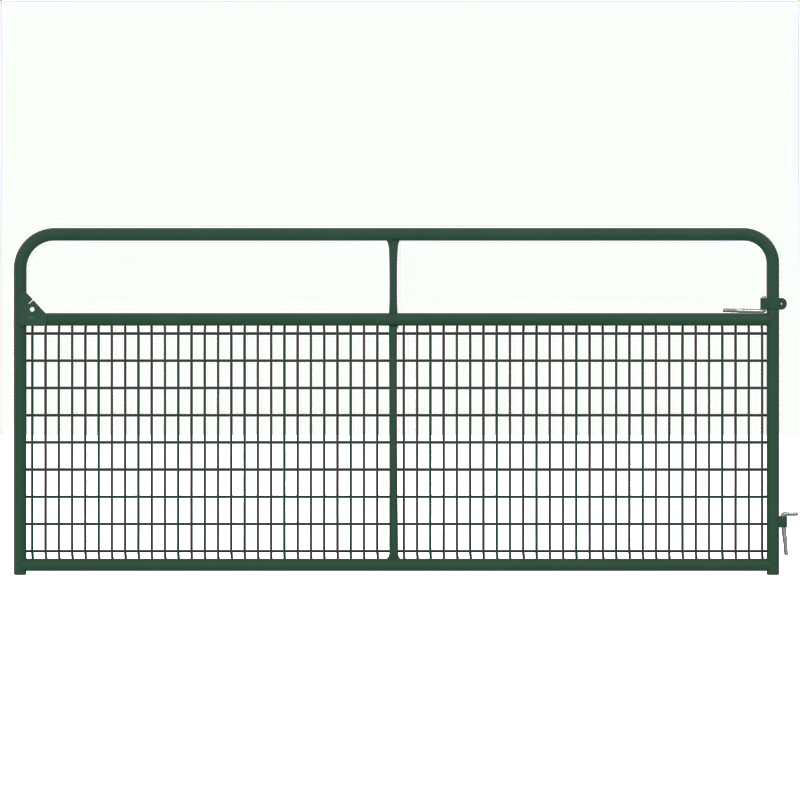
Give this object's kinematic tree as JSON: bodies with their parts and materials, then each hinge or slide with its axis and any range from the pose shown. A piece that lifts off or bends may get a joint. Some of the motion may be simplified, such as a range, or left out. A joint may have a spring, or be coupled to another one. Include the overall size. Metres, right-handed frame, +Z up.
{
  "type": "livestock panel gate",
  "caption": "Tubular farm gate with rounded top corners, an open top bay, a welded wire mesh lower panel, a corner latch plate and bolt-hook hinges.",
  "frame": {"origin": "midway along the overall length with the lower hook included, in the mid-plane of the tubes, level with the bottom ends of the posts", "axes": "+X along the gate from the latch post to the hinge post, +Y from the front to the back where the mesh is, +Z up"},
  "size_m": [2.9446, 0.0539, 1.3],
  "materials": {
    "painted_tube": "semi-gloss dark green paint on steel tube",
    "painted_plate": "semi-gloss dark green paint on flat steel",
    "painted_line_wire": "semi-gloss dark green paint on steel wire",
    "painted_stay_wire": "semi-gloss dark green paint on steel wire",
    "painted_strap": "semi-gloss dark green paint on strap steel",
    "zinc_hook": "bright zinc plated steel, streaked"
  },
  "bodies": {
    "root": {"outer_frame_tube": "painted_tube", "mid_rail": "painted_tube", "bottom_rail": "painted_tube", "upper_brace": "painted_tube", "lower_brace": "painted_tube", "line_wire_1": "painted_line_wire", "line_wire_2": "painted_line_wire", "line_wire_3": "painted_line_wire", "line_wire_4": "painted_line_wire", "line_wire_5": "painted_line_wire", "line_wire_6": "painted_line_wire", "line_wire_7": "painted_line_wire", "line_wire_8": "painted_line_wire", "line_wire_9": "painted_line_wire", "stay_wires_1": "painted_stay_wire", "stay_wires_2": "painted_stay_wire", "stay_wires_3": "painted_stay_wire", "stay_wires_4": "painted_stay_wire", "stay_wires_5": "painted_stay_wire", "stay_wires_6": "painted_stay_wire", "stay_wires_7": "painted_stay_wire", "stay_wires_8": "painted_stay_wire", "latch_plate": "painted_plate", "lower_hinge_loop": "painted_strap"},
    "upper_collar": {"upper_hinge_collar": "painted_strap"},
    "upper_hook": {"upper_bolt_hook": "zinc_hook"},
    "lower_hook": {"lower_bolt_hook": "zinc_hook"}
  },
  "joints": [
    {"name": "upper_collar_turn", "type": "hinge", "parent": "root", "child": "upper_collar", "pos_m": [1.37997, 0, 1.01673], "axis": [0, 0, 1], "continuous": true},
    {"name": "upper_hook_swing", "type": "hinge", "parent": "upper_collar", "child": "upper_hook", "pos_m": [1.34747, 0, 1.01673], "axis": [0, 0, 1], "range_deg": [-110, 110]},
    {"name": "lower_hook_swing", "type": "hinge", "parent": "root", "child": "lower_hook", "pos_m": [1.41897, 0, 0.1975], "axis": [0, 0, 1], "range_deg": [-125, 125]}
  ]
}
